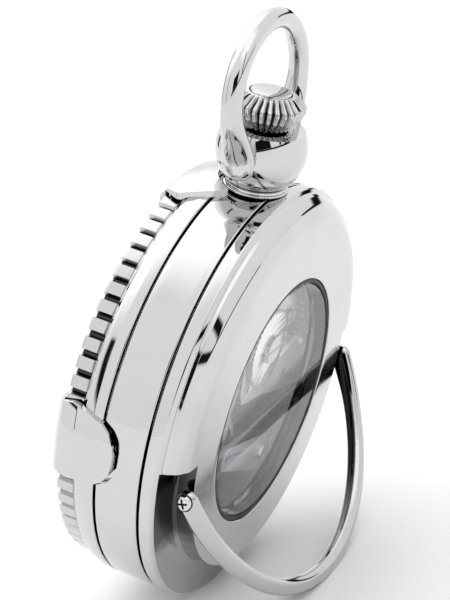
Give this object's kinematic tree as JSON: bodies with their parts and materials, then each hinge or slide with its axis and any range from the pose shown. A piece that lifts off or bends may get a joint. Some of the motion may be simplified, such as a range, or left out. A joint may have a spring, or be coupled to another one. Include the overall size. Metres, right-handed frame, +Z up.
{
  "type": "pocket watch",
  "caption": "Open-back pocket watch with hinged lugged lid, coin-edge ring, fluted crown with release button, swinging bow and fold-out stand loop, leaning on the loop.",
  "frame": {"origin": "middle of the footprint, on the surface that the watch stands on", "axes": "+Z up, dial faces -Y, back and stand loop face +Y, 3 o'clock is +X; the watch leans back on its stand loop"},
  "size_m": [0.0526, 0.0334, 0.0672],
  "materials": {
    "polished_steel": "mirror polished steel",
    "screw_steel": "polished screw steel",
    "spring_steel": "tempered spring steel",
    "plate_nickel": "nickel-plated, fine grained",
    "winding_wheel_steel": "circular grained steel",
    "wheel_brass": "gilt brass",
    "blued_steel": "blued steel",
    "crystal": "clear mineral glass",
    "gasket_rubber": "black seal",
    "dial_enamel": "white enamelled dial"
  },
  "bodies": {
    "case": {"mid_case": "polished_steel", "pendant": "polished_steel", "back_cover": "polished_steel", "back_gasket": "gasket_rubber", "back_crystal": "crystal", "stand_screw_right": "screw_steel", "stand_screw_left": "screw_steel", "hinge_pin": "screw_steel", "dial_bezel": "polished_steel", "dial_crystal": "crystal", "dial": "dial_enamel", "movement_ring": "plate_nickel", "main_plate": "plate_nickel", "barrel_bridge": "plate_nickel", "train_bridge": "plate_nickel", "balance_cock": "plate_nickel", "pallet_bridge": "plate_nickel", "hairspring": "blued_steel", "lid_catch": "spring_steel", "lid_lift_spring": "spring_steel", "bridge_screw_barrel": "screw_steel", "bridge_screw_upper": "screw_steel", "bridge_screw_right": "screw_steel", "bridge_screw_train": "screw_steel", "bridge_screw_lower": "screw_steel", "cock_screw": "screw_steel", "crown_wheel_screw": "screw_steel"},
    "lid": {"lid_frame": "polished_steel", "milled_ring": "polished_steel", "lid_crystal": "crystal", "lid_lug_3": "polished_steel", "lid_lug_6": "polished_steel", "lid_lug_9": "polished_steel", "lid_lug_12": "polished_steel"},
    "stand": {"stand_loop": "polished_steel"},
    "bow": {"bow": "polished_steel"},
    "stem": {"winding_stem": "screw_steel"},
    "crown": {"crown": "polished_steel", "winding_pinion": "screw_steel"},
    "button": {"crown_button": "polished_steel"},
    "ratchet": {"ratchet_wheel": "winding_wheel_steel", "ratchet_screw": "screw_steel", "barrel_arbor": "screw_steel"},
    "crown_wheel": {"crown_wheel": "winding_wheel_steel"},
    "click": {"click": "screw_steel"},
    "barrel": {"barrel_drum": "wheel_brass", "barrel_cover": "wheel_brass", "mainspring": "spring_steel"},
    "center": {"center_wheel": "wheel_brass"},
    "third": {"third_wheel": "wheel_brass"},
    "fourth": {"fourth_wheel": "wheel_brass", "seconds_hand": "blued_steel"},
    "escape": {"escape_wheel": "winding_wheel_steel"},
    "fork": {"pallet_fork": "winding_wheel_steel"},
    "balance": {"balance_wheel": "wheel_brass"},
    "minute": {"minute_hand": "blued_steel"},
    "hour": {"hour_hand": "blued_steel"},
    "motion": {"minute_wheel": "wheel_brass"}
  },
  "joints": [
    {"name": "lid_open", "type": "hinge", "parent": "case", "child": "lid", "pos_m": [-0.02533, -0.00178, 0.02532], "axis": [0, -0.3666, -0.9304], "range_deg": [0, 100]},
    {"name": "stand_fold", "type": "hinge", "parent": "case", "child": "stand", "pos_m": [0.00028, 0.00547, 0.01945], "axis": [1, 0, 0], "range_deg": [-32.5, 0]},
    {"name": "bow_swing", "type": "hinge", "parent": "case", "child": "bow", "pos_m": [0.00028, 0.01097, 0.05222], "axis": [1, 0, 0], "range_deg": [-100, 85]},
    {"name": "stem_pull", "type": "slide", "parent": "case", "child": "stem", "axis": [0, 0.3666, 0.9304], "range_m": [0, 0.0008]},
    {"name": "crown_turn", "type": "hinge", "parent": "stem", "child": "crown", "pos_m": [0.00028, 0.01097, 0.05222], "axis": [0, 0.3666, 0.9304], "continuous": true},
    {"name": "button_press", "type": "slide", "parent": "crown", "child": "button", "axis": [0, 0.3666, 0.9304], "range_m": [-0.0006, 0], "stiffness_N_per_m": 600},
    {"name": "ratchet_turn", "type": "hinge", "parent": "case", "child": "ratchet", "pos_m": [-0.00272, 0.00177, 0.02887], "axis": [0, 0.9304, -0.3666], "continuous": true},
    {"name": "crown_wheel_turn", "type": "hinge", "parent": "case", "child": "crown_wheel", "pos_m": [0.00028, 0.00432, 0.03534], "axis": [0, 0.9304, -0.3666], "continuous": true},
    {"name": "click_lift", "type": "hinge", "parent": "case", "child": "click", "pos_m": [-0.00932, 0.00243, 0.03054], "axis": [0, 0.9304, -0.3666], "range_deg": [-8, 0]},
    {"name": "fourth_turn", "type": "hinge", "parent": "case", "child": "fourth", "pos_m": [0.00677, 0.00008, 0.02459], "axis": [0, 0.9304, -0.3666], "continuous": true},
    {"name": "third_turn", "type": "hinge", "parent": "case", "child": "third", "pos_m": [0.00417, 0.00126, 0.02756], "axis": [0, 0.9304, -0.3666], "continuous": true},
    {"name": "center_turn", "type": "hinge", "parent": "case", "child": "center", "pos_m": [0.00028, 0.00008, 0.02459], "axis": [0, 0.9304, -0.3666], "continuous": true},
    {"name": "barrel_turn", "type": "hinge", "parent": "case", "child": "barrel", "pos_m": [-0.00272, 0.00177, 0.02887], "axis": [0, 0.9304, -0.3666], "continuous": true},
    {"name": "escape_turn", "type": "hinge", "parent": "case", "child": "escape", "pos_m": [0.00588, -0.00117, 0.02141], "axis": [0, 0.9304, -0.3666], "continuous": true},
    {"name": "fork_rock", "type": "hinge", "parent": "case", "child": "fork", "pos_m": [0.00477, -0.00191, 0.01953], "axis": [0, 0.9304, -0.3666], "range_deg": [-4, 4]},
    {"name": "balance_swing", "type": "hinge", "parent": "case", "child": "balance", "pos_m": [0.00328, -0.00292, 0.01696], "axis": [0, 0.9304, -0.3666], "range_deg": [-270, 270], "stiffness_Nm_per_rad": 0.0000015},
    {"name": "minute_turn", "type": "hinge", "parent": "case", "child": "minute", "pos_m": [0.00028, 0.00008, 0.02459], "axis": [0, -0.9304, 0.3666], "continuous": true},
    {"name": "hour_turn", "type": "hinge", "parent": "case", "child": "hour", "pos_m": [0.00028, 0.00008, 0.02459], "axis": [0, -0.9304, 0.3666], "continuous": true},
    {"name": "motion_turn", "type": "hinge", "parent": "case", "child": "motion", "pos_m": [-0.00212, -0.00079, 0.02236], "axis": [0, -0.9304, 0.3666], "continuous": true}
  ],
  "couplings": [
    {"joint": "crown_wheel_turn", "follows": "crown_turn", "ratio": -0.5},
    {"joint": "ratchet_turn", "follows": "crown_turn", "ratio": 0.2619},
    {"joint": "third_turn", "follows": "fourth_turn", "ratio": -0.13333},
    {"joint": "center_turn", "follows": "fourth_turn", "ratio": 0.016667},
    {"joint": "barrel_turn", "follows": "fourth_turn", "ratio": -0.0027778},
    {"joint": "escape_turn", "follows": "fourth_turn", "ratio": -10},
    {"joint": "hour_turn", "follows": "minute_turn", "ratio": 0.083333},
    {"joint": "motion_turn", "follows": "minute_turn", "ratio": -0.33333}
  ]
}
